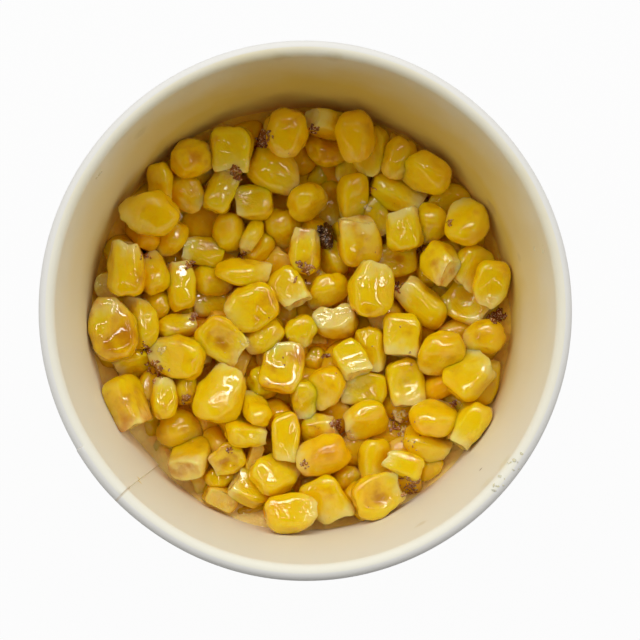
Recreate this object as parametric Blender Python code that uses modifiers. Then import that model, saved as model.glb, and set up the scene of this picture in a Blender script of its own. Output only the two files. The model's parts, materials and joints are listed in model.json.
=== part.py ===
"""Grilled sweetcorn, cut from the cob and served in a round white paper cup.

Metres, +Z up. The origin is the centre of the cup's foot, on the surface that it stands on.
Three pieces: the cup's wrapped wall with its rolled rim, the base pressed up inside its foot, and
the heap of loose kernels, as one solid out to its uneven outline.
"""

import math
import random

import bmesh
import bpy

MM = 0.001

# The cup: a small squat food cup, whose rim takes a 90 mm lid.
RIM_DIAMETER = 90.0 * MM
CUP_HEIGHT = 61.0 * MM
FOOT_DIAMETER = 72.0 * MM
BEAD_DIAMETER = 2.8 * MM
PAPER = 0.45 * MM
FOOT_FOLD = 0.3 * MM  # radius of the two creases of the folded foot
RECESS = 6.5 * MM  # from the surface up to the underside of the base
RIM_SQUEEZE = 0.016  # how much longer the rim is along Y than along X
GAP = 0.3 * MM  # clearance between two pieces

# The lap of the wall: the sheet's two ends lie on each other over this stretch of the round.
SEGMENTS = 80
STEP_DEG = 360 / SEGMENTS
LAP_END_DEG = 225.0
LAP_START_DEG = LAP_END_DEG - 3 * STEP_DEG
LAP_EDGE_DEG = 0.3  # the angle over which the cut edge of the sheet drops away
LAP_RISE = 0.3 * MM
LAP_FROM = 10.0 * MM  # inside, the lap shows from just above the base
LAP_TO = 57.5 * MM  # and it ends under the bead

# The heap of kernels.
HEAP_LEVEL = 31.0 * MM  # the level that the kernels lie on, above the surface
HEAP_DISH = 1.5 * MM  # how much higher the heap is at the wall than in the middle
HEAP_LEAN = 1.5 * MM  # and on its -X side than in the middle
HEAP_GRID = 50  # squares of the relief along each side
KERNELS_ON_TOP = 92
KERNEL_LENGTH = 10.5 * MM
KERNEL_WIDTH = 8.0 * MM
KERNEL_CROWN = 3.6 * MM  # how far a kernel's crown stands above its outline
KERNEL_SPREAD = 0.15  # how much the kernels differ in size, either way
KERNEL_LIFT = 2.4 * MM  # how much higher some kernels lie than others
DEEPEST_GAP = 0.8 * MM  # how far the gaps between kernels reach below the level
SEED = 11

BEAD_RADIUS = BEAD_DIAMETER / 2
BEAD_CENTRE = (RIM_DIAMETER / 2 - BEAD_RADIUS, CUP_HEIGHT - BEAD_RADIUS)
WALL_AT_FOOT = FOOT_DIAMETER / 2 - PAPER
WALL_AT_BEAD = BEAD_CENTRE[0] - BEAD_RADIUS
WALL_SLOPE = (WALL_AT_BEAD - WALL_AT_FOOT) / BEAD_CENTRE[1]
SLOT = PAPER + 2 * GAP  # between the wall and its folded foot, where the skirt of the base sits
BASE_TOP = RECESS + PAPER


def wall_inside(z):
    """Radius of the wall's inner face at a height."""
    return WALL_AT_FOOT + WALL_SLOPE * z


def arc(centre, radius, start_deg, end_deg, steps):
    """Points (radius, height) along an arc, both ends included."""
    angles = [math.radians(start_deg + (end_deg - start_deg) * i / steps) for i in range(steps + 1)]
    return [(centre[0] + radius * math.cos(a), centre[1] + radius * math.sin(a)) for a in angles]


def wall_profile():
    """Section of the wall: over the bead, down the outside, round the folded foot and up the inside."""
    bead = arc(BEAD_CENTRE, BEAD_RADIUS, 180, -135, 14)
    bead.append((wall_inside(LAP_TO) + PAPER, LAP_TO))
    outside = FOOT_DIAMETER / 2
    fold_outside = WALL_AT_FOOT - SLOT - PAPER
    foot = arc((outside - FOOT_FOLD, FOOT_FOLD), FOOT_FOLD, 0, -90, 2)
    foot += arc((fold_outside + FOOT_FOLD, FOOT_FOLD), FOOT_FOLD, -90, -180, 2)
    fold_top = RECESS - GAP
    fold = [
        (wall_inside(fold_top) - SLOT - PAPER, fold_top),
        (wall_inside(fold_top) - SLOT, fold_top),
        (wall_inside(PAPER) - SLOT, PAPER),
    ]
    inside = [(wall_inside(z), z) for z in (PAPER, BASE_TOP + GAP, LAP_FROM, LAP_TO)]
    return bead + foot + fold + inside


def base_profile():
    """Section of the base: a flat disc with its edge turned down as a skirt."""
    skirt_foot = PAPER + GAP
    return [
        (0, BASE_TOP),
        (wall_inside(BASE_TOP) - GAP - PAPER / 2, BASE_TOP),
        (wall_inside(RECESS) - GAP, RECESS + PAPER / 2),
        (wall_inside(skirt_foot) - GAP, skirt_foot),
        (wall_inside(skirt_foot) - GAP - PAPER, skirt_foot),
        (wall_inside(RECESS) - GAP - PAPER, RECESS),
        (0, RECESS),
    ]


def mould_profile():
    """Section of the space that the heap fills, taken well above the heap."""
    floor = BASE_TOP + GAP
    return [
        (0, CUP_HEIGHT),
        (wall_inside(CUP_HEIGHT) - GAP, CUP_HEIGHT),
        (wall_inside(floor) - GAP, floor),
        (0, floor),
    ]


def turned(name, profile, closed):
    """An object turned about Z from a profile, which runs down its outer side."""
    count = len(profile)
    mesh = bpy.data.meshes.new(name)
    edges = [(i, i + 1) for i in range(count - 1)]
    if closed:
        edges.append((count - 1, 0))
    mesh.from_pydata([(r, 0, z) for r, z in profile], edges, [])
    outline = bpy.data.objects.new(name + "_outline", mesh)
    bpy.context.scene.collection.objects.link(outline)
    screw = outline.modifiers.new("turn", "SCREW")
    screw.steps = screw.render_steps = SEGMENTS
    screw.use_merge_vertices = True
    screw.merge_threshold = 0.01 * MM
    graph = bpy.context.evaluated_depsgraph_get()
    solid = bpy.data.meshes.new_from_object(outline.evaluated_get(graph))
    solid.name = name
    bpy.data.objects.remove(outline)
    return bpy.data.objects.new(name, solid)


def reshape(piece, rule):
    """Moves each vertex of a turned piece to where rule(radius, angle in degrees, height) puts it."""
    for vertex in piece.data.vertices:
        x, y, z = vertex.co
        angle = math.degrees(math.atan2(y, x)) % 360
        radius, angle, z = rule(math.hypot(x, y), angle, z)
        turn = math.radians(angle)
        squeeze = 1 + RIM_SQUEEZE * z / CUP_HEIGHT
        vertex.co = (radius * math.cos(turn), radius * math.sin(turn) * squeeze, z)


def edge_columns(angle):
    """The angle of a column of vertices, with those just outside the lap drawn close to its two edges."""
    if abs(angle - (LAP_END_DEG + STEP_DEG)) < STEP_DEG / 2:
        return LAP_END_DEG + LAP_EDGE_DEG
    if abs(angle - (LAP_START_DEG - STEP_DEG)) < STEP_DEG / 2:
        return LAP_START_DEG - LAP_EDGE_DEG
    return angle


def lap(angle):
    """True over the stretch where the wall is two sheets thick."""
    slack = LAP_EDGE_DEG / 2
    return LAP_START_DEG - slack <= angle <= LAP_END_DEG + slack


def lapped_wall(radius, angle, z):
    """Over the lap the wall stands proud: outside right down to its foot, inside down to the base."""
    angle = edge_columns(angle)
    outer = radius > wall_inside(z) + PAPER / 2
    lowest = FOOT_FOLD / 2 if outer else LAP_FROM - GAP
    if lap(angle) and lowest < z < LAP_TO + GAP:
        radius += LAP_RISE if outer else -LAP_RISE
    return radius, angle, z


def lapped_mould(radius, angle, z):
    """The heap stays clear of the wall where the wall stands proud."""
    angle = edge_columns(angle)
    if lap(angle) and radius > LAP_RISE:
        radius -= LAP_RISE
    return radius, angle, z


def as_turned(radius, angle, z):
    """Leaves a turned piece as it is, apart from the squeeze that all of the cup shares."""
    return radius, angle, z


def kernel_bumps():
    """The kernels on top of the heap: (x, y, heading, half length, half width, lift)."""
    draw = random.Random(SEED)
    golden_angle = math.pi * (3 - math.sqrt(5))
    reach = wall_inside(HEAP_LEVEL) - KERNEL_WIDTH / 3
    bumps = []
    for i in range(KERNELS_ON_TOP):
        radius = reach * math.sqrt((i + 0.5) / KERNELS_ON_TOP)
        angle = golden_angle * i
        size = 1 + draw.uniform(-KERNEL_SPREAD, KERNEL_SPREAD)
        heading = draw.uniform(0, math.pi)
        lift = draw.uniform(0, KERNEL_LIFT)
        at_x, at_y = radius * math.cos(angle), radius * math.sin(angle)
        bumps.append((at_x, at_y, heading, size * KERNEL_LENGTH / 2, size * KERNEL_WIDTH / 2, lift))
    return bumps


def heap_top(x, y, bumps):
    """Height of the heap's upper face: its broad form, with the highest kernel standing on it."""
    reach = wall_inside(HEAP_LEVEL)
    form = HEAP_LEVEL + HEAP_DISH * (x * x + y * y) / reach**2 - HEAP_LEAN * x / reach
    rise = -DEEPEST_GAP
    for bump_x, bump_y, heading, half_length, half_width, lift in bumps:
        dx, dy = x - bump_x, y - bump_y
        along = (dx * math.cos(heading) + dy * math.sin(heading)) / half_length
        across = (dy * math.cos(heading) - dx * math.sin(heading)) / half_width
        rise = max(rise, lift + KERNEL_CROWN * (1 - along * along - across * across))
    return form + rise


def heap_relief():
    """A square block whose upper face is the heap's, standing wider than the cup all round."""
    bumps = kernel_bumps()
    block = bmesh.new()
    half = wall_inside(CUP_HEIGHT)
    bmesh.ops.create_grid(block, x_segments=HEAP_GRID, y_segments=HEAP_GRID, size=half)
    for vertex in block.verts:
        vertex.co.z = heap_top(vertex.co.x, vertex.co.y, bumps)
    around = [edge for edge in block.edges if edge.is_boundary]
    sides = bmesh.ops.extrude_edge_only(block, edges=around)["geom"]
    for vertex in [part for part in sides if isinstance(part, bmesh.types.BMVert)]:
        vertex.co.z = 0
    low = [part for part in sides if isinstance(part, bmesh.types.BMEdge) and part.is_boundary]
    bmesh.ops.edgeloop_fill(block, edges=low)
    bmesh.ops.recalc_face_normals(block, faces=block.faces[:])
    mesh = bpy.data.meshes.new("corn_heap")
    block.to_mesh(mesh)
    block.free()
    return bpy.data.objects.new("corn_heap", mesh)


def cut_to(piece, mould):
    """Leaves of a piece only what lies inside the mould."""
    cut = piece.modifiers.new("inside_the_cup", "BOOLEAN")
    cut.operation = "INTERSECT"
    cut.object = mould


def finish(name, colour, roughness):
    """A plain Principled material."""
    material = bpy.data.materials.new(name)
    material.use_nodes = True
    shader = material.node_tree.nodes["Principled BSDF"]
    shader.inputs["Base Color"].default_value = (*colour, 1)
    shader.inputs["Roughness"].default_value = roughness
    shader.inputs["Metallic"].default_value = 0
    return material


def add(collection, piece, material):
    """Puts a finished piece in the collection, in its material and shaded smooth but for its edges."""
    collection.objects.link(piece)
    piece.data.materials.append(material)
    piece.data.shade_smooth()
    piece.data.set_sharp_from_angle(angle=math.radians(40))


def main():
    for old in list(bpy.data.objects):
        bpy.data.objects.remove(old)
    collection = bpy.data.collections.new("grilled_corn_in_paper_cup")
    bpy.context.scene.collection.children.link(collection)
    cutters = bpy.data.collections.new("cutters")
    bpy.context.scene.collection.children.link(cutters)
    paper = finish("coated_paper", (0.85, 0.83, 0.77), 0.45)
    corn = finish("sweetcorn", (0.80, 0.52, 0.05), 0.3)

    wall = turned("cup_wall", wall_profile(), closed=True)
    reshape(wall, lapped_wall)
    base = turned("cup_base", base_profile(), closed=False)
    reshape(base, as_turned)
    mould = turned("heap_mould", mould_profile(), closed=False)
    reshape(mould, lapped_mould)
    mould.hide_render = True
    mould.display_type = "WIRE"
    cutters.objects.link(mould)
    heap = heap_relief()
    cut_to(heap, mould)

    add(collection, wall, paper)
    add(collection, base, paper)
    add(collection, heap, corn)


main()
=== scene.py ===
"""Grilled sweetcorn, cut from the cob, in a round white paper cup.

The cup's wall and base are turned again from a finer section, with the lap, the rolled rim and the
butter stains of a used paper cup, which also carry painted shade and the corn's painted yellow glow. The
heap is poured from separate kernels: those that lie on top are laid one by one, the rest are strewn beneath
them, and all of them settle into the cup under their weight.
"""

import json
import math

import bmesh
import bpy
import numpy as np
from mathutils import Matrix, Vector, noise
from mathutils.bvhtree import BVHTree

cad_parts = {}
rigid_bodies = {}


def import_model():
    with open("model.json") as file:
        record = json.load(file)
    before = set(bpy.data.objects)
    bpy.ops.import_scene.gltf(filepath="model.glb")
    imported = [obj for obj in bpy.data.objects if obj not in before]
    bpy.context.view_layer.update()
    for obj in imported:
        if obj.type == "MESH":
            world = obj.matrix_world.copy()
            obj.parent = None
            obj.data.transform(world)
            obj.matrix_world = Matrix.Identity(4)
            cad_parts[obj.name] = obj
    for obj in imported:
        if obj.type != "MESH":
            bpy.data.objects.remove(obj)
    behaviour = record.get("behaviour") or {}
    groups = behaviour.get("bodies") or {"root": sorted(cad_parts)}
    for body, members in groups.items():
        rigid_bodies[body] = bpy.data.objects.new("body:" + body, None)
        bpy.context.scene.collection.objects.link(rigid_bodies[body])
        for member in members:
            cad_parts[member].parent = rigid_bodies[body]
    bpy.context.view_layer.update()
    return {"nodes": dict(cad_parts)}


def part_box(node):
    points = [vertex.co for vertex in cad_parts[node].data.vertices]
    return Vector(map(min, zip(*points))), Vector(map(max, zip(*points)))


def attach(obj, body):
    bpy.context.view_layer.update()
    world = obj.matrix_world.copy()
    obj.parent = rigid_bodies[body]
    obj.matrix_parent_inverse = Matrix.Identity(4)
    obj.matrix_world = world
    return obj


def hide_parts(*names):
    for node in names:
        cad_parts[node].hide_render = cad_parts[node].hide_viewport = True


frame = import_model()

MM = 0.001
wall_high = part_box("cup_wall")[1]
base_low, base_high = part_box("cup_base")

# The cup.
RIM_RADIUS = wall_high.x
RIM_OVAL = wall_high.y / wall_high.x - 1  # how much longer the rim is along Y than along X
CUP_HEIGHT = wall_high.z
FOOT_RADIUS = max(v.co.x for v in frame["nodes"]["cup_wall"].data.vertices if v.co.z < 0.4 * MM)
PAPER = 0.45 * MM
SLACK = 0.3 * MM  # left between the layers of paper at the foot
BEAD_RADIUS = 1.4 * MM
BEAD_CENTRE = (RIM_RADIUS - BEAD_RADIUS, CUP_HEIGHT - BEAD_RADIUS)
WALL_AT_FOOT = FOOT_RADIUS - PAPER
WALL_SLOPE = (BEAD_CENTRE[0] - BEAD_RADIUS - WALL_AT_FOOT) / BEAD_CENTRE[1]
BASE_TOP = base_high.z
LAP_END_DEG = 225.0  # where the wall's inner end shows inside
LAP_START_DEG = 211.5  # where its outer end shows outside
LAP_RISE = 0.3 * MM
CUT_DEG = 0.12  # how far round the sheet's raw edge takes to step down
LAP_EASE_DEG = (10, 14)  # how far past the lap the sheet still stands off, and over how far it comes down

# The heap.
CORE_TOP = 20.5 * MM
CORE_SWELL = 3.4  # mm that the core stands above the level on which kernels settle
MENISCUS = 2.0  # mm that the butter climbs the wall
BURIED_SPACING = 7.5  # mm between the kernels that the core shows
STREWN = 84  # kernels beneath the ones laid by hand
STREWN_BY_WALL = 26  # and more of them along the wall
STREWN_REACH = 36.5  # mm from the middle to the furthest strewn kernels
BY_WALL_REACH = (32.5, 35.0)
LAID_ABOVE = 10.5  # mm above the core at which the lowest laid kernels start to settle
LAYER = 3.2  # mm from one layer of them to the next
LAID_HEIGHT = 34.0 * MM  # the level at which the laid kernels' places are given
KERNEL_REACH = 12.0  # mm between the middles of kernels that may touch
SETTLING_STEPS = 260
SINK = (0.22, 0.06)  # mm that the kernels sink in each step, early and late
SINK_SLOWS = 0.6  # the share of the steps after which they sink by less
HOLD = (0.25, 0.1)  # how firmly each step pulls the laid ones back to their places, early and late
HOLD_SLACKENS = 0.85  # the share of the steps after which that is less
PRESS = 1.3  # how much further than the overlap asks they press each other apart
WALL_GAP = 0.15  # mm that they keep from the wall as they settle
VARIANTS = 3  # of each shape
SEED = 5

# Where the cup is looked at from, and the point on its rim's level that it is looked at.
EYE = (-8.8 * MM, -22.5 * MM, 361 * MM)
AIM = (2.2 * MM, -2.1 * MM, 61 * MM)
LENS = 100.8  # mm

# The sky: how much brighter it is to the north and to the sides, how bright it is at the horizon and how it
# rises from there, how far it is dimmed in reflections and again in the butter, and how it looks itself.
SKY_NORTH = 1.0
SKY_SIDES = 3.7
SKY_HORIZON = 0.08
SKY_RISE = (0.50, -0.08)
SKY_DIMMED = 0.88
SKY_IN_BUTTER = 0.8
BACKDROP = 0.97

# The window to the north.
KEY_SIZE = (0.9, 0.08)
KEY_POWER = 1.9
KEY_RISE_DEG = 51
KEY_TURN_DEG = 101
KEY_DISTANCE = 0.8

# Bright tubes that only the butter mirrors: the middle and the reach of each along X and Y, and its strength.
TUBES = (
    (0.0, 0.60, 0.50, 0.022, 15.0),
    (-0.05, 0.27, 0.30, 0.016, 13.0),
    (0.62, 0.10, 0.016, 0.40, 10.0),
    (-0.66, 0.05, 0.016, 0.35, 6.0),
    (0.10, -0.45, 0.35, 0.014, 4.0),
    (0.33, 0.38, 0.012, 0.22, 10.0),
    (-0.36, 0.43, 0.22, 0.012, 10.0),
)

# Colours of the corn, of what the grill left on it, and of the paper.
LEMON = (0.95, 0.65, 0.002)
GOLD = (0.95, 0.58, 0.001)
DEEP_GOLD = (0.96, 0.465, 0.001)
PALE_TIP = (0.98, 0.695, 0.035)
CUT_FACE = (0.99, 0.75, 0.23)
# Deep amber for the butter that the corn stands in, also used as painted shade on corn that lies low or faces
# down, and where buried kernels meet.
STEEPED_SHADE = (0.99, 0.455, 0.001)
BY_WALL = (0.97, 0.58, 0.05)
# A pale colour painted on the core's edge against the south wall: painted light over the shade in the crease.
PAINTED_LIGHT_BY_WALL = (0.97, 0.72, 0.24)
VEIN = (0.96, 0.70, 0.006)
TOASTED = (0.56, 0.20, 0.006)
SKIN = (0.95, 0.72, 0.22)
HUSK = (0.58, 0.24, 0.03)
SCORCHED = (0.30, 0.08, 0.012)
CHAR = (0.07, 0.025, 0.008)
BROWNED = (0.20, 0.055, 0.012)
# Pale specks painted on the husk bits as glints.
PAINTED_GLINT = (0.90, 0.66, 0.42)
PAPER_WHITE = (0.87, 0.86, 0.82)
PAPER_CREAM = (0.93, 0.91, 0.78)
# Darkened butter yellow for the wall's staining, which also stands in as painted shade and yellow light
# bounced from the corn.
BUTTER_STAIN_AND_SHADE = (0.78, 0.60, 0.14)
RAW_EDGE = (0.60, 0.46, 0.26)
GREASE = (0.66, 0.56, 0.30)
# Butter soaking into the paper next to the corn, also painted as the corn's yellow glow on the wall.
SOAKED_AND_PAINTED_GLOW = (0.93, 0.64, 0.12)
CRUMB = (0.20, 0.10, 0.03)
THIN_BUTTER = (0.90, 0.86, 0.66)
THICK_BUTTER = (0.88, 0.77, 0.42)

# Bits of scorched husk and skin on and between the kernels: place along X and Y in mm, spread, number, size
# in mm, and how black.
HUSK_BITS = (
    (-6.9, 33.1, 1.8, 16, 1.3, 0.42),
    (-12.5, 26.8, 1.1, 15, 1.13, 0.3),
    (2.3, 35.3, 1.2, 9, 1.03, 0.48),
    (12.7, 24.0, 0.9, 9, 0.78, 0.12),
    (0.4, 8.9, 1.6, 22, 0.86, 0.24),
    (21.8, 13.1, 0.8, 12, 0.95, 0.36),
    (17.2, 5.8, 1.1, 15, 0.86, 0.24),
    (35.5, 0.3, 1.7, 20, 1.3, 0.36),
    (27.1, 18.0, 0.9, 9, 0.7, 0.12),
    (-11.1, 11.6, 0.8, 8, 1.03, 0.54),
    (-28.9, 11.2, 1.4, 15, 0.78, 0.18),
    (-20.4, 9.8, 1.2, 12, 0.86, 0.24),
    (-19.5, 0.3, 1.1, 15, 0.86, 0.21),
    (-26.7, -9.4, 2.0, 30, 0.86, 0.15),
    (-28.9, -5.4, 1.2, 12, 0.78, 0.18),
    (-21.3, -14.7, 1.0, 12, 0.95, 0.27),
    (-13.2, -24.0, 0.8, 9, 0.7, 0.3),
    (0.3, -26.5, 0.9, 12, 0.6, 0.24),
    (6.3, -19.2, 1.0, 15, 0.95, 0.3),
    (19.8, -30.7, 1.8, 27, 0.95, 0.21),
    (4.3, -6.8, 0.8, 9, 0.7, 0.42),
    (3.6, 16.4, 0.8, 12, 1.0, 1.0),
    (4.1, 15.0, 0.9, 14, 1.0, 1.0),
    (4.7, 13.6, 0.8, 10, 1.0, 1.0),
    (17.2, -19.2, 2.0, 16, 0.86, 0.06),
    (27.8, -15.9, 0.8, 9, 0.78, 0.24),
    (20.0, -22.0, 3.5, 15, 0.36, 0.12),
    (17.6, -17.8, 2.0, 9, 1.0, -0.8),
    (18.6, -20.6, 1.8, 6, 0.9, -0.6),
    (-26.4, -5.4, 1.8, 6, 0.9, -0.8),
    (-10.8, -4.6, 1.2, 4, 0.8, -0.7),
    (8.6, -21.2, 1.4, 5, 1.0, -0.6),
    (11.4, 20.8, 1.2, 5, 0.9, -0.6),
    (3.0, 8.2, 1.0, 3, 0.9, -0.5),
    (-6.0, 0.0, 14.0, 14, 0.36, 0.1),
    (14.0, -6.0, 12.0, 12, 0.36, 0.1),
)

# Drops of butter on the wall and rim, in the same way.
BUTTER_DROPS = (
    (35.5, -26.0, 2.2, 7, 0.55, 0.0),
    (32.5, -29.5, 2.2, 7, 0.5, 0.0),
    (39.0, 10.5, 1.4, 4, 0.6, 0.0),
    (-35.5, 22.5, 0.8, 3, 0.9, 0.0),
)

LOWEST_RIM_MARK = 56  # mm up, from which a mark shows on both faces of the wall

# Marks on the wall: the turn in degrees from +X, the height and the reach in mm, how strong, and the tint.
WALL_MARKS = (
    (225.5, 47.5, 1.1, 0.65, (0.80, 0.60, 0.08)),
    (148.8, 36.6, 1.6, 0.5, GREASE),
    (133.0, 54.0, 2.2, 0.35, GREASE),
    (30.5, 37.5, 2.6, 0.45, (0.45, 0.30, 0.14)),
    (318.5, 48.1, 0.6, 0.8, CRUMB),
    (298.6, 51.5, 1.8, 0.35, GREASE),
    (15.3, 41.5, 1.5, 0.4, GREASE),
    (96.0, 60.0, 2.2, 0.5, (0.74, 0.66, 0.40)),
    (84.0, 60.0, 2.6, 0.4, (0.74, 0.66, 0.40)),
    (322.0, 59.0, 2.4, 0.45, (0.84, 0.79, 0.55)),
    (316.0, 58.5, 2.2, 0.4, (0.84, 0.79, 0.55)),
)

# Kernel shapes, in millimetres: length, width and thickness; the share of each that the cut end keeps;
# the share of the length that the crown's dome takes; how square the section is and the crown's own
# fullness; then the hollows: the dish of the cut face, a sunken face, a notch, and the bend of the whole.
KERNEL_SHAPES = {
    "bent": dict(size=(8.8, 6.4, 5.4), tip=(0.8, 0.8), crown=0.42, square=2.5, full=2.3, bend=0.16),
    "block": dict(size=(9.2, 7.6, 5.8), tip=(0.86, 0.8), crown=0.34, square=4.0, full=2.7, dish=0.5),
    "button": dict(size=(7.4, 7.6, 6.6), tip=(0.72, 0.7), crown=0.55, square=2.4, full=2.2),
    "heart": dict(
        size=(6.8, 8.0, 6.8), tip=(0.9, 0.86), crown=0.5, square=2.5, full=2.3, dish=0.2, notch=0.55
    ),
    "long": dict(size=(9.8, 6.0, 5.2), tip=(0.72, 0.75), crown=0.36, square=3.2, full=2.4),
    "open": dict(
        size=(9.4, 7.8, 4.8), tip=(0.8, 0.75), crown=0.4, square=3.1, full=2.6, sunk=0.75, crumple=0.5
    ),
    "plump": dict(size=(9.0, 8.0, 6.4), tip=(0.62, 0.68), crown=0.5, square=2.4, full=2.15),
    "slab": dict(size=(9.0, 8.2, 4.0), tip=(0.66, 0.8), crown=0.45, square=3.3, full=2.3),
    "split": dict(size=(10.4, 7.6, 5.2), tip=(0.45, 0.7), crown=0.5, square=2.3, full=1.9, crumple=0.2),
    "wedge": dict(size=(10.4, 8.4, 5.4), tip=(0.52, 0.72), crown=0.46, square=3.3, full=2.3),
}
KINDS = sorted(KERNEL_SHAPES)

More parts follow.
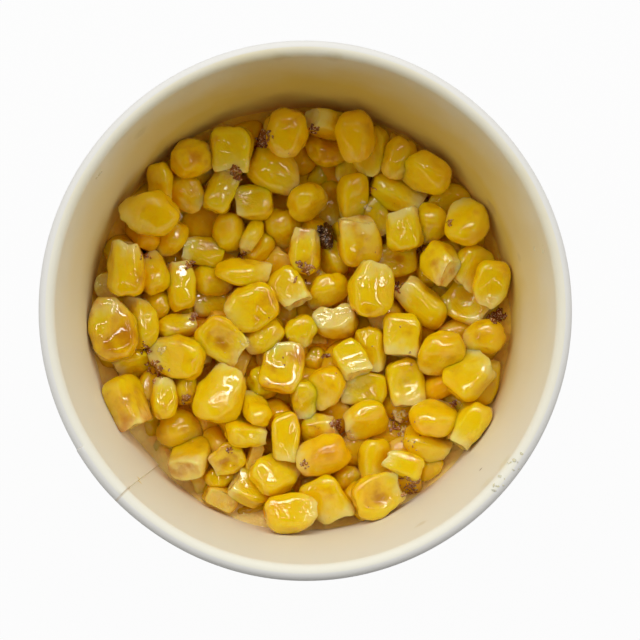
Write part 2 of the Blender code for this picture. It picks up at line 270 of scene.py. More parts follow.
# The kernels on top, lowest first within each part of the heap: shape; place along X and Y in
# millimetres; the way the crown points, in degrees from +X; how far the crown is tipped up; how far the
# kernel is rolled off its broad face; size; how high it lies, in layers; how golden; how toasted.
LAID = (
    # Along the north wall.
    ("plump", 9.5, 35.2, 90, 20, 0, 1.0, 0, 1.0, 0.1),
    ("plump", 18.2, 31.0, 60, 10, 0, 0.85, 0, 1.0, 0.0),
    ("long", -26.8, 25.3, 110, 20, 40, 0.8, 0, 0.2, 0.0),
    ("plump", -22.0, 23.8, 150, 10, 0, 0.9, 0, 0.7, 0.0),
    ("plump", -2.9, 34.8, 80, 30, 0, 1.0, 1, 1.0, 0.15),
    ("wedge", 12.9, 31.5, 90, 20, 0, 0.9, 1, 0.85, 0.0),
    ("plump", -20.8, 29.4, 200, 40, 0, 0.95, 1, 0.75, 0.3),
    ("plump", 4.4, 31.5, 200, 25, 0, 0.98, 1, 0.7, 0.25),
    ("block", -13.0, 31.4, 90, 12, 0, 0.98, 2, 0.35, 0.0),
    ("slab", 10.1, 28.1, 60, 10, 30, 0.9, 1, 0.6, 0.1),
    ("long", 3.5, 27.1, 250, 10, 20, 0.72, 2, 0.1, 0.0),
    ("plump", 23.2, 27.3, 45, 55, 0, 1.08, 2, 0.85, 0.0),
    ("plump", -5.7, 27.8, 150, 20, 0, 1.12, 3, 0.55, 0.0),
    # North-west.
    ("plump", -24.4, 14.3, 60, 10, 0, 0.95, 0, 0.6, 0.0),
    ("plump", -27.2, 19.7, 25, 20, 0, 1.1, 2, 1.0, 0.0),
    ("long", -15.5, 23.5, 235, 0, 15, 0.92, 3, 0.0, 0.0),
    ("block", -8.6, 21.3, 5, 5, 0, 0.8, 2, 0.45, 0.0),
    ("split", -9.3, 15.4, 70, 0, 80, 0.7, 1, 0.5, 0.0),
    ("plump", -8.0, 12.8, 300, 20, 0, 0.85, 0, 0.9, 0.1),
    ("button", -13.9, 16.1, 200, 75, 0, 0.95, 3, 0.6, 0.0),
    ("bent", -18.0, 12.8, 0, 5, 10, 0.95, 2, 0.35, 0.0),
    ("plump", -3.9, 16.8, 110, 45, 0, 0.95, 2, 0.65, 0.0),
    ("long", -32.6, 9.2, 268, -12, 0, 1.08, 1, 0.25, 0.1),
    ("plump", -27.2, 8.4, 282, 25, 0, 0.85, 1, 0.4, 0.2),
    ("long", -22.1, 6.1, 265, 8, 10, 1.0, 2, 0.3, 0.05),
    ("plump", -17.2, 7.1, 185, 10, 20, 0.8, 2, 0.55, 0.0),
    ("split", -11.1, 7.9, 183, 0, 62, 1.02, 3, 0.6, 0.0),
    ("plump", -26.4, 2.5, 300, 30, 0, 0.85, 1, 0.7, 0.0),
    ("block", -16.8, 3.0, 0, 0, 0, 0.85, 1, 0.15, 0.0),
    # North-east.
    ("wedge", 5.1, 11.1, 300, 10, 20, 0.9, 1, 0.2, 0.0),
    ("long", 5.1, 21.5, 85, 10, 30, 0.9, 1, 0.6, 0.3),
    ("plump", -0.1, 22.4, 205, 45, 0, 0.98, 3, 0.65, 0.0),
    ("long", 9.5, 22.7, 90, 22, 0, 0.98, 3, 0.45, 0.0),
    ("long", 14.2, 19.5, 115, 10, 30, 0.9, 2, 0.65, 0.0),
    ("long", 17.7, 23.6, 164, 4, 20, 1.14, 4, 0.05, 0.0),
    ("slab", 28.0, 22.0, 45, 20, 0, 0.85, 0, 0.0, 0.0),
    ("plump", 23.7, 18.2, 55, 40, 0, 0.85, 2, 0.65, 0.0),
    ("plump", 30.1, 17.4, 300, 50, 0, 1.0, 2, 0.6, 0.0),
    ("open", 17.7, 11.1, 10, 5, 20, 0.85, 2, 0.65, 0.4),
    ("block", 19.0, 16.5, 272, -5, 10, 0.9, 3, 0.25, 0.0),
    ("button", 23.0, 8.3, 20, 60, 0, 0.7, 2, 0.6, 0.0),
    ("block", 25.7, 10.5, 130, -45, 0, 0.85, 3, 0.2, 0.35),
    ("wedge", 34.8, 6.9, 70, 15, 20, 0.85, 1, 0.1, 0.0),
    ("wedge", 31.4, 9.4, 62, 10, 35, 0.86, 2, 0.55, 0.0),
    ("long", 0.6, 12.2, 268, -5, 0, 0.92, 2, 0.2, 0.3),
    ("block", 10.4, 14.2, 268, -28, 0, 1.02, 3, 0.4, 0.35),
    ("long", 4.6, 14.9, 292, 0, 70, 0.52, 2, 1.0, 3.0),
    # Middle.
    ("plump", 4.7, 5.8, 60, 50, 0, 0.9, 2, 0.65, 0.0),
    ("plump", -6.9, -3.7, 30, 10, 0, 0.95, 1, 0.1, 0.0),
    ("block", -2.7, 5.8, 112, -28, 0, 0.85, 3, 0.45, 0.0),
    ("wedge", -9.3, 1.8, 28, 8, 0, 1.02, 3, 0.4, 0.15),
    ("wedge", 12.8, 5.3, 268, -2, -7, 1.02, 3, 0.35, 0.0),
    ("long", 22.3, 3.0, 325, 5, 12, 1.12, 3, 0.35, 0.0),
    ("open", 30.0, 2.7, 147, 5, -12, 0.98, 3, 0.5, 0.15),
    ("plump", -0.3, -2.4, 92, 35, 0, 0.75, 2, 0.45, 0.0),
    ("heart", 5.8, -0.5, 270, -62, 180, 1.02, 3, 0.4, 0.0),
    ("button", 1.9, -7.7, 45, 60, 0, 0.66, 1, 0.4, 0.0),
    ("slab", 15.5, -6.4, 20, 10, 0, 0.85, 0, 0.5, 0.0),
    ("long", 12.3, -5.3, 98, 5, 20, 0.9, 2, 0.45, 0.1),
    ("block", 8.2, -7.7, 112, -30, 0, 0.78, 3, 0.2, 0.0),
    ("block", 18.2, -2.8, 92, -8, 0, 0.92, 3, 0.2, 0.0),
    ("plump", 33.7, -3.5, 20, 30, 0, 0.85, 1, 0.85, 0.15),
    ("plump", 26.1, -5.8, 80, 48, 0, 1.08, 3, 0.65, 0.1),
    # West.
    ("wedge", -29.7, -1.6, 290, 5, 35, 1.0, 2, 0.65, 0.0),
    ("wedge", -34.5, -2.4, 282, 5, -6, 1.12, 3, 0.4, 0.42),
    ("long", -23.1, -1.1, 180, 5, 20, 0.82, 2, 0.5, 0.1),
    ("slab", -30.9, -7.7, 25, 5, 40, 0.8, 1, 0.2, 0.0),
    ("wedge", -22.6, -7.2, 335, 8, 0, 1.0, 1, 0.2, 0.0),
    ("open", -14.6, -3.5, 140, 5, 5, 1.02, 3, 0.4, 0.35),
    ("long", -25.6, -14.5, 268, 5, 20, 0.82, 2, 0.35, 0.1),
    ("button", -21.1, -12.2, 30, 60, 0, 0.8, 3, 0.55, 0.15),
    ("block", -32.3, -15.3, 102, -8, 0, 1.14, 3, 0.35, 0.42),
    ("button", -7.4, -12.3, 200, 30, 0, 0.8, 2, 0.3, 0.1),
    ("open", -4.0, -9.2, 255, 8, 30, 1.02, 3, 0.6, 0.4),
    ("plump", -22.0, -21.2, 160, 15, 0, 0.98, 1, 0.65, 0.0),
    ("wedge", -14.9, -14.1, 245, 8, 5, 1.1, 3, 0.3, 0.0),
    # South.
    ("plump", 4.9, -12.2, 100, 20, 0, 0.9, 0, 0.3, 0.0),
    ("long", -8.5, -16.7, 282, 40, 0, 0.85, 3, 0.55, 0.0),
    ("long", 0.7, -14.5, 82, 10, 10, 0.8, 3, 0.3, 0.05),
    ("long", -14.2, -29.2, 250, 10, 0, 0.7, 0, 0.2, 0.0),
    ("block", -10.5, -21.2, 182, 5, 20, 0.88, 2, 0.35, 0.0),
    ("open", 11.4, -13.0, 2, 5, 20, 0.86, 2, 0.3, 0.1),
    ("wedge", 11.4, -18.1, 15, 12, 10, 0.84, 2, 0.65, 0.0),
    ("open", 19.2, -11.7, 100, 10, 0, 0.92, 3, 0.3, 0.05),
    ("plump", 23.7, -18.7, 250, 62, 0, 1.05, 3, 0.65, 0.05),
    ("long", 35.6, -12.3, 250, 10, 30, 0.95, 0, 0.75, 0.0),
    ("block", 30.6, -10.8, 214, 6, 32, 1.05, 3, 0.4, 0.0),
    ("block", 31.0, -19.2, 52, 8, 0, 1.05, 3, 0.15, 0.0),
    ("block", -20.3, -25.4, 70, -48, 0, 1.0, 3, 0.35, 0.3),
    ("open", -13.3, -25.4, 30, 10, 10, 0.72, 2, 0.6, 0.45),
    ("plump", 3.8, -24.8, 20, 10, 0, 1.05, 0, 0.45, 0.2),
    ("block", -9.5, -30.9, 345, -8, 0, 0.85, 1, 0.2, 0.1),
    ("wedge", -5.3, -28.2, 205, 12, 0, 1.0, 3, 0.2, 0.0),
    ("long", -3.2, -21.7, 92, 10, 0, 0.98, 3, 0.6, 0.0),
    ("block", 3.1, -20.3, 182, -5, 0, 0.78, 3, 0.15, 0.45),
    ("wedge", -2.5, -35.6, 182, 12, 25, 0.92, 2, 0.65, 0.0),
    ("plump", 8.0, -29.6, 200, 10, 0, 0.7, 0, 0.65, 0.0),
    ("block", 4.4, -32.0, 120, 5, 20, 0.98, 3, 0.6, 0.0),
    ("plump", 24.8, -27.8, 320, 10, 0, 0.8, 0, 0.65, 0.0),
    ("wedge", 22.3, -23.6, 150, 5, 0, 0.92, 1, 0.55, 0.0),
    ("open", 13.5, -32.2, 200, 8, 0, 1.02, 1, 0.1, 0.3),
    ("bent", 13.0, -26.2, 92, 5, 20, 1.0, 3, 0.4, 0.15),
    ("long", 18.7, -26.7, 340, 5, 10, 0.78, 3, 0.1, 0.0),
)


# ---------------------------------------------------------------- node helpers


class Signal:
    """A node's output. A sum written with it adds a Math or a Vector Math node to its tree."""

    def __init__(self, socket):
        self.socket = socket
        self.tree = socket.id_data

    def maths(self, operation, *others):
        """What a Math node makes of this and the others."""
        return signal(self.tree, "ShaderNodeMath", dict(enumerate((self, *others))), operation=operation)

    def vector_maths(self, operation, *others, output="Vector"):
        """What a Vector Math node makes of this and the others."""
        values = dict(enumerate((self, *others)))
        return signal(self.tree, "ShaderNodeVectorMath", values, output, operation=operation)

    def either_maths(self, operation, other):
        """What the node for this signal's kind makes of it and another."""
        fitting = self.vector_maths if self.socket.type == "VECTOR" else self.maths
        return fitting(operation, other)

    def __add__(self, other):
        return self.either_maths("ADD", other)

    def __sub__(self, other):
        return self.either_maths("SUBTRACT", other)

    def __mul__(self, other):
        return self.either_maths("MULTIPLY", other)

    def __rsub__(self, other):
        return self * -1.0 + other

    def __abs__(self):
        return self.maths("ABSOLUTE")

    def __gt__(self, other):
        return self.maths("GREATER_THAN", other)

    def __lt__(self, other):
        return self.maths("LESS_THAN", other)

    def clamped(self):
        """The same sum, kept between 0 and 1."""
        self.socket.node.use_clamp = True
        return self

    def dot(self, way):
        """How far this vector reaches along another."""
        return self.vector_maths("DOT_PRODUCT", way, output="Value")

    def parts(self):
        """A vector's parts along X, Y and Z."""
        return [Signal(s) for s in put(self.tree, "ShaderNodeSeparateXYZ", {0: self}).outputs]


def feed(node, values):
    """Gives a node's inputs their plain values, or the signals that they follow."""
    for key, value in values.items():
        if isinstance(value, Signal):
            node.id_data.links.new(value.socket, node.inputs[key])
        else:
            node.inputs[key].default_value = value


def put(tree, kind, values=None, **settings):
    """Adds a node with its settings and its inputs' values."""
    node = tree.nodes.new(kind)
    for name, value in settings.items():
        setattr(node, name, value)
    feed(node, values or {})
    return node


def signal(tree, kind, values=None, output=0, **settings):
    """One output of a new node."""
    return Signal(put(tree, kind, values, **settings).outputs[output])


def joined(*parts):
    """A vector from its parts."""
    return signal(parts[0].tree, "ShaderNodeCombineXYZ", dict(enumerate(parts)))


def cloud(where, scale, detail):
    """Soft noise between 0 and 1."""
    values = {"Vector": where, "Scale": scale, "Detail": detail}
    return signal(where.tree, "ShaderNodeTexNoise", values)


def own_place(local, grain):
    """A place in the noise that no other kernel shares: the place on the kernel, moved by its grain."""
    return local + joined(*(grain * (17.0 + 9 * i) for i in range(3)))


def node_group(name, kind, inputs, outputs):
    """An empty node group with named sockets: its tree, its inputs' signals by name, and its output node."""
    tree = bpy.data.node_groups.new(name, kind)
    for way, sockets in (("INPUT", inputs), ("OUTPUT", outputs)):
        for socket, socket_kind in sockets.items():
            tree.interface.new_socket(socket, in_out=way, socket_type="NodeSocket" + socket_kind)
    given = tree.nodes.new("NodeGroupInput").outputs
    return tree, {s.name: Signal(s) for s in given if s.name}, tree.nodes.new("NodeGroupOutput")


def geometry_group(name, inputs):
    """An empty Geometry Nodes tree with the named inputs."""
    geometry = {"Geometry": "Geometry"}
    return node_group(name, "GeometryNodeTree", {**geometry, **inputs, "Material": "Material"}, geometry)


def named(tree, name, kind="FLOAT"):
    """A named attribute of the geometry that a tree works on."""
    return signal(tree, "GeometryNodeInputNamedAttribute", {"Name": name}, data_type=kind)


def stored(geometry, name, value):
    """The geometry with a value kept on its points under a name."""
    values = {"Geometry": geometry, "Name": name, "Value": value}
    return signal(geometry.tree, "GeometryNodeStoreNamedAttribute", values, data_type="FLOAT", domain="POINT")


def finish_tree(geometry, material, out):
    """The end of a tree: the geometry shaded smooth, made real and given its material."""
    smooth = signal(geometry.tree, "GeometryNodeSetShadeSmooth", {"Geometry": geometry})
    real = signal(geometry.tree, "GeometryNodeRealizeInstances", {"Geometry": smooth})
    painted = signal(geometry.tree, "GeometryNodeSetMaterial", {"Geometry": real, "Material": material})
    feed(out, {0: painted})


# ---------------------------------------------------------------- mesh helpers


def placed(name, data):
    """A new object in the scene."""
    thing = bpy.data.objects.new(name, data)
    bpy.context.scene.collection.objects.link(thing)
    return thing


def marked(mesh, **attributes):
    """The mesh with named values on its points."""
    for key, values in attributes.items():
        values = np.asarray(values)
        kind = "FLOAT_VECTOR" if values.ndim == 2 else ("INT" if values.dtype.kind == "i" else "FLOAT")
        layer = mesh.attributes.new(key, kind, "POINT")
        layer.data.foreach_set("vector" if values.ndim == 2 else "value", values.ravel())
    return mesh


def plain_mesh(name, points, faces=()):
    """A mesh from its points and faces."""
    mesh = bpy.data.meshes.new(name)
    mesh.from_pydata([tuple(point) for point in points], [], faces)
    return mesh


def hidden(name, mesh):
    """An object that only a tree reads: it isn't a piece."""
    thing = placed(name, mesh)
    thing.hide_render = True
    thing.hide_viewport = True
    return thing


def grown(name, start, tree, values):
    """A plain mesh object, made by a Geometry Nodes tree from the start mesh."""
    source = placed(name + "_start", start)
    modifier = source.modifiers.new("grow", "NODES")
    modifier.node_group = tree
    for item in tree.interface.items_tree:
        if item.item_type == "SOCKET" and item.in_out == "INPUT" and item.name in values:
            modifier[item.identifier] = values[item.name]
    graph = bpy.context.evaluated_depsgraph_get()
    mesh = bpy.data.meshes.new_from_object(source.evaluated_get(graph))
    mesh.name = name
    bpy.data.objects.remove(source)
    return placed(name, mesh)


def ringed_faces(rings, around):
    """The faces of a closed body: a pole, its rings of points one after another, and a pole."""
    ahead = [(j + 1) % around for j in range(around)]
    faces = [(0, 1 + j, 1 + k) for j, k in enumerate(ahead)]
    for i in range(rings - 1):
        a, b = 1 + i * around, 1 + (i + 1) * around
        faces += [(a + j, b + j, b + k, a + k) for j, k in enumerate(ahead)]
    last = 1 + (rings - 1) * around
    return faces + [(last + j, last + around, last + k) for j, k in enumerate(ahead)]


def face_outwards(mesh):
    """Turns a closed mesh right side out."""
    mesh.calc_loop_triangles()
    corners = np.empty(len(mesh.vertices) * 3)
    mesh.vertices.foreach_get("co", corners)
    corners = corners.reshape(-1, 3)
    faces = np.empty(len(mesh.loop_triangles) * 3, int)
    mesh.loop_triangles.foreach_get("vertices", faces)
    if np.linalg.det(corners[faces.reshape(-1, 3)]).sum() < 0:
        mesh.flip_normals()


def sharpen(mesh, degrees):
    """Smooth shading, but for edges sharper than this."""
    mesh.shade_smooth()
    mesh.set_sharp_from_angle(angle=math.radians(degrees))


def surface_of(piece):
    """A piece's surface, ready for lines to be cast at it."""
    mesh = piece.data
    return BVHTree.FromPolygons([v.co for v in mesh.vertices], [tuple(p.vertices) for p in mesh.polygons])


# ---------------------------------------------------------------- the cup's shape


def wall_inside(z):
    """Radius of the wall's inner face at a height."""
    return WALL_AT_FOOT + WALL_SLOPE * z


def oval(z):
    """How much longer the cup is along Y than along X at a height."""
    return 1 + RIM_OVAL * z / CUP_HEIGHT


def core_height(x, y):
    """The level in millimetres on which kernels settle: higher against the wall, most of all to the north."""
    edge = np.clip(np.hypot(x, y) / 38, 0, 1) ** 4
    south_west = np.clip((-0.72 * x - 0.69 * y) / (np.hypot(x, y) + 1e-6), 0, 1) ** 14
    return CORE_TOP / MM + edge * (3.6 + 2.2 * y / 38 - 6.0 * south_west)


def arc(centre, radius, start_deg, end_deg, steps):
    """Points along an arc with the way out from its centre: (radius, height, out along each)."""
    ways = [(math.cos(a), math.sin(a)) for a in np.radians(np.linspace(start_deg, end_deg, steps + 1))]
    return [(centre[0] + radius * x, centre[1] + radius * y, x, y) for x, y in ways]


def straight(start, end, steps, out):
    """Points from start up to but not including end, all with the same way out."""
    across, up = end[0] - start[0], end[1] - start[1]
    return [(start[0] + across * i / steps, start[1] + up * i / steps, out, 0.0) for i in range(steps)]


def wall_section():
    """The wall's section, closed: over the rolled rim, down outside, round the folded foot, up inside."""
    slot = PAPER + 2 * SLACK
    rim_lip = 0.35  # how much of the sheet's rise the rim shows where it is lapped
    rim = [(r, z, rim_lip * x, rim_lip * y) for r, z, x, y in arc(BEAD_CENTRE, BEAD_RADIUS, 180, -118, 30)]
    neck_z = CUP_HEIGHT - 3.2 * MM
    crease = 0.3 * MM
    outside = straight((wall_inside(neck_z) + PAPER, neck_z), (FOOT_RADIUS, crease), 16, 1.0)
    fold_radius = WALL_AT_FOOT - slot - PAPER
    edge = arc((FOOT_RADIUS - crease, crease), crease, 0, -90, 5)
    edge += arc((fold_radius + crease, crease), crease, -90, -180, 5)
    edge = [(r, z, 1.0 if i == 0 else 0.0, 0.0) for i, (r, z, _, _) in enumerate(edge)]
    fold_top = BASE_TOP - PAPER - SLACK
    fold = ((fold_top, slot + PAPER), (fold_top, slot), (PAPER, slot), (PAPER, 0), (BASE_TOP + SLACK, 0))
    fold = [(wall_inside(z) - inward, z, 0.0, 0.0) for z, inward in fold]
    start_z = BASE_TOP + 3 * MM
    inside = straight((wall_inside(start_z), start_z), BEAD_CENTRE, 18, -1.0)
    inside = [(wall_inside(z), z, out, 0.0) for _, z, out, _ in inside]
    return rim + outside + edge + fold + inside + rim[:1]


def base_section():
    """The base's section: a flat disc, rounded over its edge into the skirt, and back underneath."""
    bend = 0.7 * MM
    foot_z = base_low.z
    skirt_radius = wall_inside(foot_z) - SLACK
    top_radius = wall_inside(BASE_TOP) - SLACK
    flat_radius = top_radius - bend
    top = [(r, BASE_TOP, 0.0, 0.0) for r in np.linspace(0, flat_radius, 12)]
    edge = arc((flat_radius, BASE_TOP - bend), bend, 90, 0, 6)[1:]
    skirt = [(radius, foot_z, 0.0, 0.0) for radius in (skirt_radius, skirt_radius - PAPER)]
    under = [(r, BASE_TOP - PAPER, 0.0, 0.0) for r in np.linspace(flat_radius, 0, 10)]
    return top + edge + skirt + under + top[:1]


def rounds(steps=240):
    """What the turn holds at each of its angles: the lap's rise inside and outside, and its raw edges."""
    step_deg = 360 / steps
    marks = [lap + cut for lap in (LAP_END_DEG, LAP_START_DEG) for cut in (-CUT_DEG, 0, CUT_DEG)]
    degrees = [i * step_deg for i in range(steps + 1)]
    degrees = [d for d in degrees if min(abs(d - m) for m in marks) > step_deg / 3] + marks
    degrees = np.array(sorted(degrees))
    half = CUT_DEG / 2
    past, ease = LAP_EASE_DEG
    inner = (degrees < LAP_END_DEG - half) * np.clip((degrees - LAP_START_DEG + past) / ease, 0, 1)
    outer = (degrees > LAP_START_DEG + half) * np.clip((LAP_END_DEG + past - degrees) / ease, 0, 1)
    return {
        "angle": np.radians(degrees),
        "inner": inner,
        "outer": outer,
        "inner_edge": 1.0 * (abs(degrees - LAP_END_DEG) < half),
        "outer_edge": 1.0 * (abs(degrees - LAP_START_DEG) < half),
    }


def turning_tree():
    """Turns a section round Z: it lies across a grid and the round along it, and the seams are closed."""
    inputs = {"Section": "Object", "Round": "Object", "Lap Rise": "Float", "Oval": "Float"}
    tree, given, out = geometry_group("turn a lapped paper wall", inputs)
    shown = [{"Object": given[key]} for key in ("Section", "Round")]
    lines = [signal(tree, "GeometryNodeObjectInfo", values, "Geometry") for values in shown]
    counts = [signal(tree, "GeometryNodeAttributeDomainSize", {"Geometry": g}, "Point Count") for g in lines]
    size = {"Size X": 1.0, "Size Y": 1.0, "Vertices X": counts[0], "Vertices Y": counts[1]}
    grid = signal(tree, "GeometryNodeMeshGrid", size, "Mesh")
    here = signal(tree, "GeometryNodeInputPosition").parts()
    index = [((part + 0.5) * (count - 1.0)).maths("ROUND") for part, count in zip(here, counts)]

    def sampled(line, name, kind="FLOAT"):
        values = {"Geometry": lines[line], "Value": named(tree, name, kind), "Index": index[line]}
        return signal(tree, "GeometryNodeSampleIndex", values, data_type=kind)

    point = sampled(0, "place", "FLOAT_VECTOR").parts()
    way = sampled(0, "way", "FLOAT_VECTOR").parts()
    is_inner = way[0] < 0.0

    def by_side(inner, outer):
        inner, outer = sampled(1, inner), sampled(1, outer)
        return outer + is_inner * (inner - outer)

    rise = by_side("inner", "outer") * given["Lap Rise"]
    radius = way[0] * rise + point[0]
    height = way[2] * rise + point[2]
    angle = sampled(1, "angle")
    stretch = given["Oval"] * height.maths("DIVIDE", CUP_HEIGHT) + 1.0
    place = joined(radius * angle.maths("COSINE"), radius * angle.maths("SINE") * stretch, height)
    edged = stored(grid, "raw_edge", by_side("inner_edge", "outer_edge"))
    sided = stored(edged, "inner_face", is_inner)
    turned = signal(tree, "GeometryNodeSetPosition", {"Geometry": sided, "Position": place})
    closed = signal(tree, "GeometryNodeMergeByDistance", {"Geometry": turned, "Distance": 0.002 * MM})
    finish_tree(closed, given["Material"], out)
    return tree


def turned_piece(name, section, tree, material):
    """A turned piece of the cup, its faces pointing outwards."""
    radius, height, out, up = np.array(section).T
    still = np.zeros(len(section))
    places = np.column_stack([radius, still, height])
    ways = np.column_stack([out, still, up])
    turn = rounds()
    line = hidden(name + "_section", marked(plain_mesh(name, places), place=places, way=ways))
    around = hidden(name + "_round", marked(plain_mesh(name, np.zeros((len(turn["angle"]), 3))), **turn))
    values = {"Section": line, "Round": around, "Lap Rise": LAP_RISE, "Oval": RIM_OVAL, "Material": material}
    piece = grown(name, bpy.data.meshes.new(name), tree, values)
    for helper in (line, around):
        bpy.data.objects.remove(helper)
    face_outwards(piece.data)
    sharpen(piece.data, 35)
    return piece


# ---------------------------------------------------------------- kernels


def outline(shape):
    """Rings of a kernel from its cut face to its crown: (along, width and thickness shares, on the cut)."""
    tip, crown, full = shape["tip"], shape["crown"], shape["full"]
    face = [(0.0, f, 1.0) for f in (0.25, 0.5, 0.7, 0.85)] + [(0.006, 0.93, 0.7), (0.024, 0.98, 0.2)]
    rings = [(x, f * tip[0], f * tip[1], on_cut) for x, f, on_cut in face]
    for u in np.linspace(0.1, 1, 8):
        swell = math.sin(u * math.pi / 2) ** 0.85
        rings.append((u * (1 - crown), tip[0] + (1 - tip[0]) * swell, tip[1] + (1 - tip[1]) * swell, 0.0))
    for phi in np.radians(np.linspace(11, 84, 9)):
        share = math.cos(phi) ** (2 / full)
        rings.append((1 - crown + crown * math.sin(phi) ** (2 / full), share, share, 0.0))
    return rings


def kernel_points(shape, around):
    """A kernel's points, in millimetres about its middle, with where each is along it and on the cut."""
    length, width, thick = shape["size"]
    turn = np.arange(around) * 2 * math.pi / around
    power = 2 / shape["square"]
    across = np.sign(np.cos(turn)) * np.abs(np.cos(turn)) ** power
    up = np.sign(np.sin(turn)) * np.abs(np.sin(turn)) ** power
    points, along, cut = [(0.0, 0.0, 0.0)], [0.0], [1.0]
    for x, w, t, on_cut in outline(shape):
        points += [(x, w * a / 2, t * u / 2) for a, u in zip(across, up)]
        along += [x] * around
        cut += [on_cut] * around
    points.append((1.0, 0.0, 0.0))
    along.append(1.0)
    cut.append(0.0)
    points = np.array(points) * (length, width, thick)
    points[:, 0] -= length / 2
    return points, np.array(along), np.array(cut)


def shaped(shape, around):
    """The kernel's points with its hollows, its bend, its slanted cut and its unevenness."""
    length, width, thick = shape["size"]
    points, along, cut = kernel_points(shape, around)
    x, y, z = points.T
    radius = np.hypot(y / width, z / thick) * 2
    side = np.arctan2(z / thick, y / width)
    facet = shape["facet"] * np.cos(shape["sides"] * side + shape["seed"]) * np.sin(math.pi * along)
    y *= 1 + facet
    z *= 1 + facet
    if shape.get("notch"):
        near = np.clip(1 - along / 0.8, 0, 1)
        z *= np.where(z > 0, 1 - shape["notch"] * near * np.exp(-((y / (0.2 * width)) ** 2)), 1)
    if shape.get("sunk"):
        depth = np.exp(-((x / (0.3 * length)) ** 2) - (y / (0.3 * width)) ** 2)
        z *= np.where(z > 0, 1 - shape["sunk"] * depth, 1)
    z *= np.where(z < 0, shape["flat"], 1)
    near_cut = np.clip(1 - along / 0.4, 0, 1)
    inner = np.clip(1 - (radius / 0.8) ** 2, 0, 1) * cut
    x += shape.get("dish", 0.25) * inner + shape["slant"] * y * near_cut
    x -= shape["dimple"] * np.exp(-((radius / 0.45) ** 2)) * np.clip(along * 5 - 4, 0, 1)
    y += shape["lean"] * width * (1 - along) ** 2
    z += shape.get("bend", 0.03) * length * ((2 * x / length) ** 2 - 0.5)
    crumple = 0.03 * (1 + 2 * shape.get("crumple", 0))
    seed = shape["seed"]
    for i, (px, py, pz) in enumerate(points):
        broad = noise.noise(Vector((px, py, pz)) * 0.26 + Vector((seed, 3.1, 0)))
        fine = noise.noise(Vector((px, py, pz)) * 0.6 + Vector((0, seed, 5.7)))
        torn = noise.noise(Vector((seed, py * 0.8, pz * 0.8)))
        points[i] *= 1 + 0.08 * broad + crumple * fine
        points[i, 0] += 0.25 * torn * max(0, 1 - along[i] / 0.12)
    return points, along, cut


def kernel_mesh(name, shape, around):
    """A kernel as a closed mesh at its own origin, crown towards +X and broad faces up and down."""
    points, along, cut = shaped(shape, around)
    mesh = plain_mesh(name, points * MM, ringed_faces((len(points) - 2) // around, around))
    face_outwards(mesh)
    return marked(mesh, along=along, cut=cut, local=points)


def varied(shape, draw):
    """One kernel's own build: its size, how its cut slants, how it leans and how flat and faceted it is."""
    own = dict(shape)
    own["size"] = tuple(s * draw.uniform(0.96, 1.04) for s in shape["size"])
    own["slant"] = draw.normal(0, 0.12)
    own["lean"] = draw.normal(0, 0.05)
    own["flat"] = draw.uniform(0.75, 1)
    own["dimple"] = draw.uniform(0, 0.7)
    own["facet"] = draw.uniform(0.025, 0.07)
    own["sides"] = int(draw.integers(3, 6))
    own["seed"] = draw.uniform(0, 100)
    return own


def kernel_collection(name, around):
    """The variants of each kernel shape; the pouring tree picks from them by order of name."""
    draw = np.random.default_rng(SEED)
    collection = bpy.data.collections.new(name)
    for kind in KINDS:
        for i in range(VARIANTS):
            mesh = kernel_mesh(f"{kind}_{i}", varied(KERNEL_SHAPES[kind], draw), around)
            collection.objects.link(bpy.data.objects.new(f"{name}_{kind}_{i}", mesh))
    return collection


def crumpled_collection(name, count, squash, roughness):
    """Small lumps 1 mm long: flakes when squashed and rough, drops when round and smooth."""
    collection = bpy.data.collections.new(name)
    for i in range(count):
        ball = bmesh.new()
        bmesh.ops.create_icosphere(ball, subdivisions=2, radius=0.5 * MM)
        for vertex in ball.verts:
            way = vertex.co.normalized()
            push = 1 + roughness * noise.noise(way * 1.7 + Vector((i * 9.1, 0, 0)))
            push += roughness * 0.6 * noise.noise(way * 4.5 + Vector((0, i * 7.7, 0)))
            vertex.co = Vector((way.x, way.y * 0.7, way.z * squash)) * push * 0.5 * MM
        mesh = bpy.data.meshes.new(f"{name}_{i}")
        ball.to_mesh(mesh)
        ball.free()
        collection.objects.link(bpy.data.objects.new(f"{name}_{i}", mesh))
    return collection


# ---------------------------------------------------------------- settling


def ball_layout(shape):
    """Nine balls that fill a kernel: three across at each of three places along it."""
    length, width, thick = shape["size"]
    tip = shape["tip"]
    centres, radii = [], []
    for x, w, t in ((0.17, 0.3 + 0.7 * tip[0], 0.3 + 0.7 * tip[1]), (0.48, 0.97, 0.97), (0.78, 0.78, 0.82)):
        radius = t * thick / 2
        reach = max(w * width / 2 - radius, 0)
        for side in (-1, 0, 1):
            centres.append(((x - 0.5) * length, side * reach, 0))
            radii.append(radius)
    return np.array(centres), np.array(radii)


def facing(heading, pitch, roll):
    """A kernel's rotation: rolled about its length, then tipped up, then turned to its heading."""
    turn = Matrix.Rotation(math.radians(heading), 3, "Z")
    tip = Matrix.Rotation(-math.radians(pitch), 3, "Y")
    spin = Matrix.Rotation(math.radians(roll), 3, "X")
    return np.array(turn @ tip @ spin)


